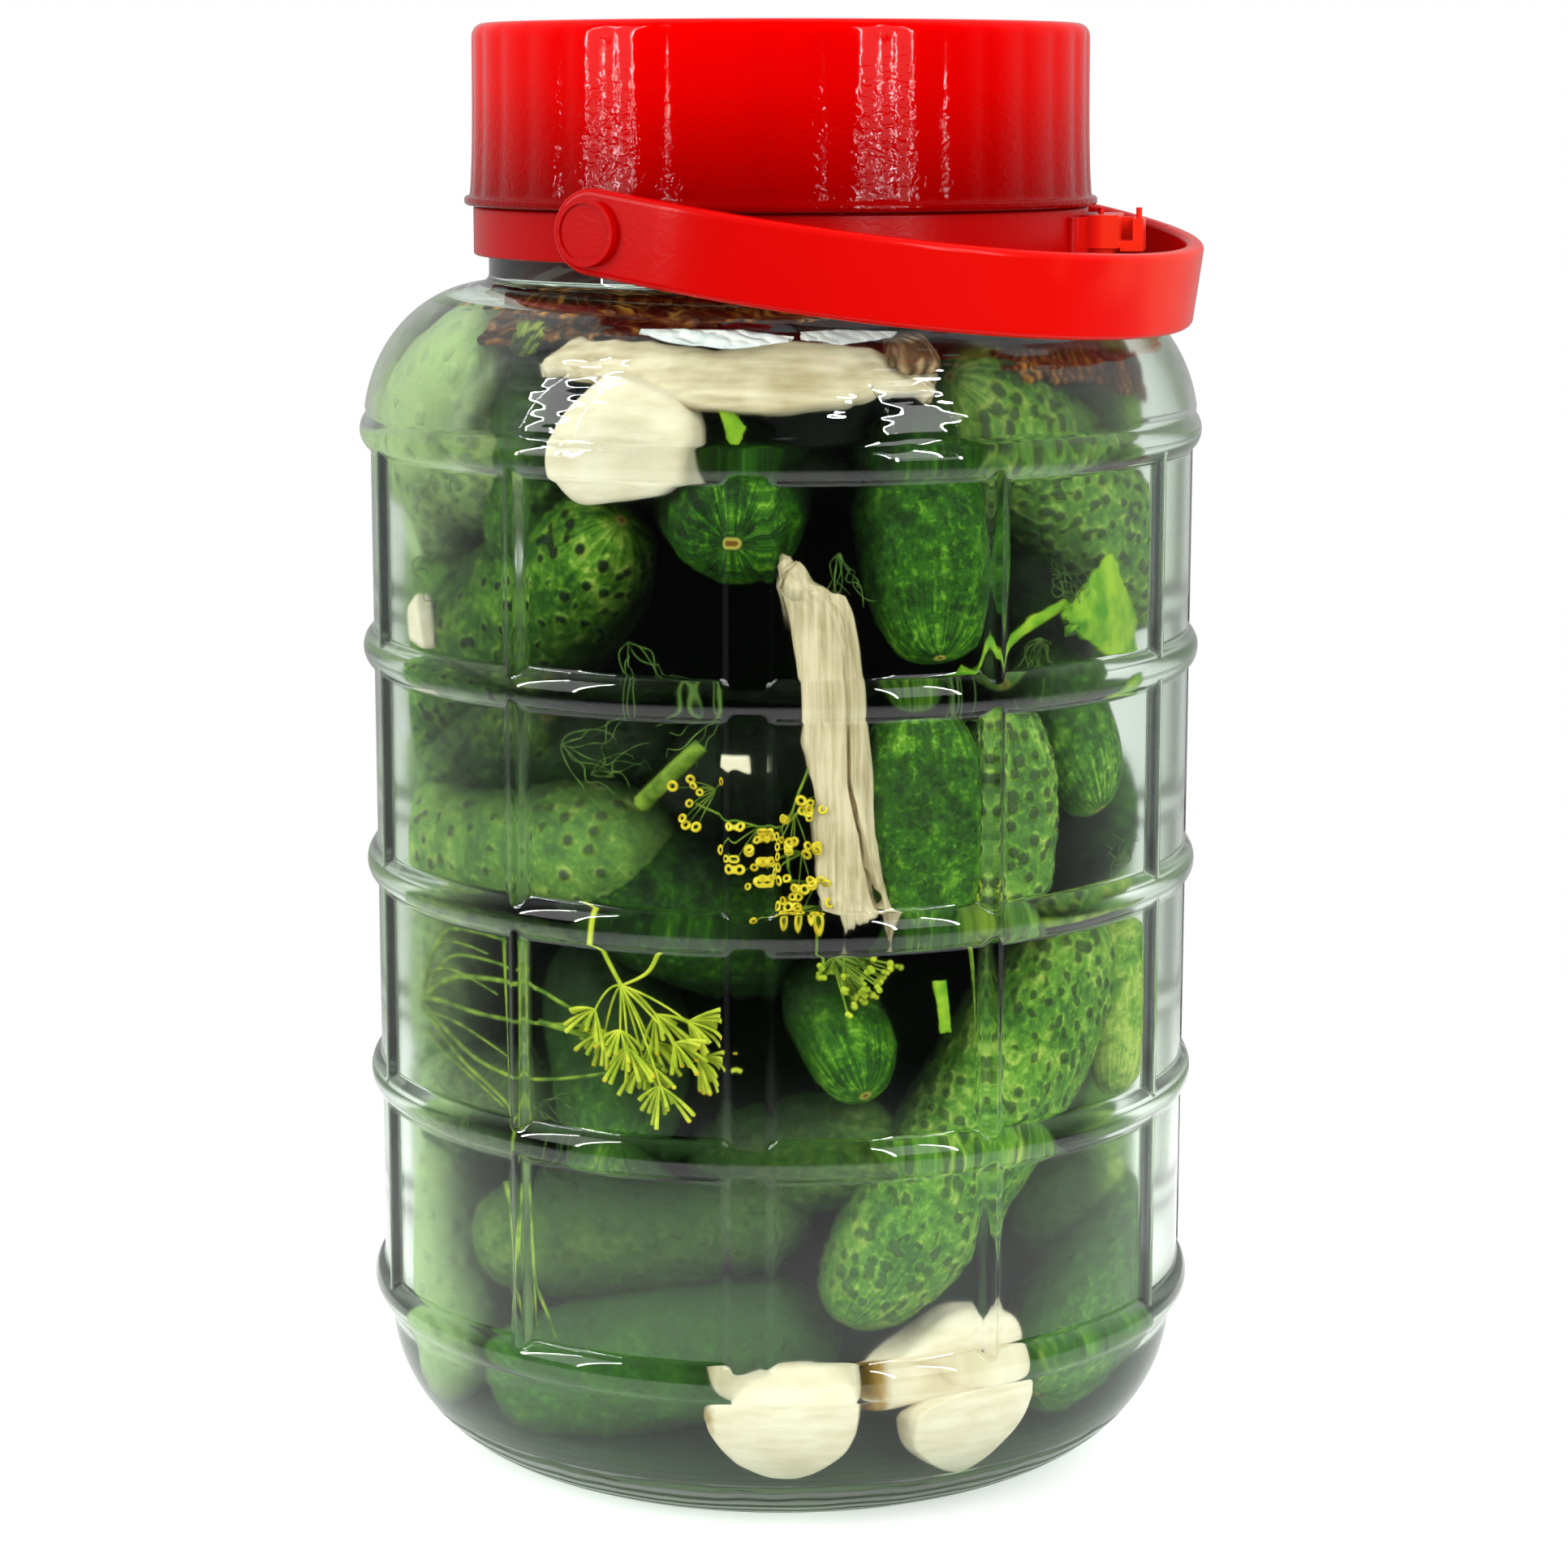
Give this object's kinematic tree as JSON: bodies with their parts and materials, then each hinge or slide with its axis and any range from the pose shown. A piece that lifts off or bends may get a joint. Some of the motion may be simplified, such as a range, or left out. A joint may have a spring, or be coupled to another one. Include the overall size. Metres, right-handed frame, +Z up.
{
  "type": "pickle jar",
  "caption": "Large ribbed glass jar of whole pickled cucumbers in brine, with a red screw lid and a red strap handle that swings over it.",
  "frame": {"origin": "centre of the jar's base, on the surface it stands on", "axes": "+Z up along the jar's axis; +X along the handle's pivot axis; the folded handle points towards -Y"},
  "size_m": [0.2, 0.201, 0.3407],
  "materials": {
    "clear_glass": "clear pressed soda-lime glass with a faint green tint",
    "brine_and_pickles": "pickled cucumbers, garlic and dill in slightly cloudy brine",
    "red_plastic": "glossy moulded polypropylene"
  },
  "bodies": {
    "jar": {"jar": "clear_glass", "brine": "brine_and_pickles", "lid": "red_plastic", "collar": "red_plastic"},
    "handle": {"handle": "red_plastic"}
  },
  "joints": [
    {"name": "handle_swing", "type": "hinge", "parent": "jar", "child": "handle", "pos_m": [0, 0, 0.2948], "axis": [-1, 0, 0], "range_deg": [0, 197.2]}
  ]
}
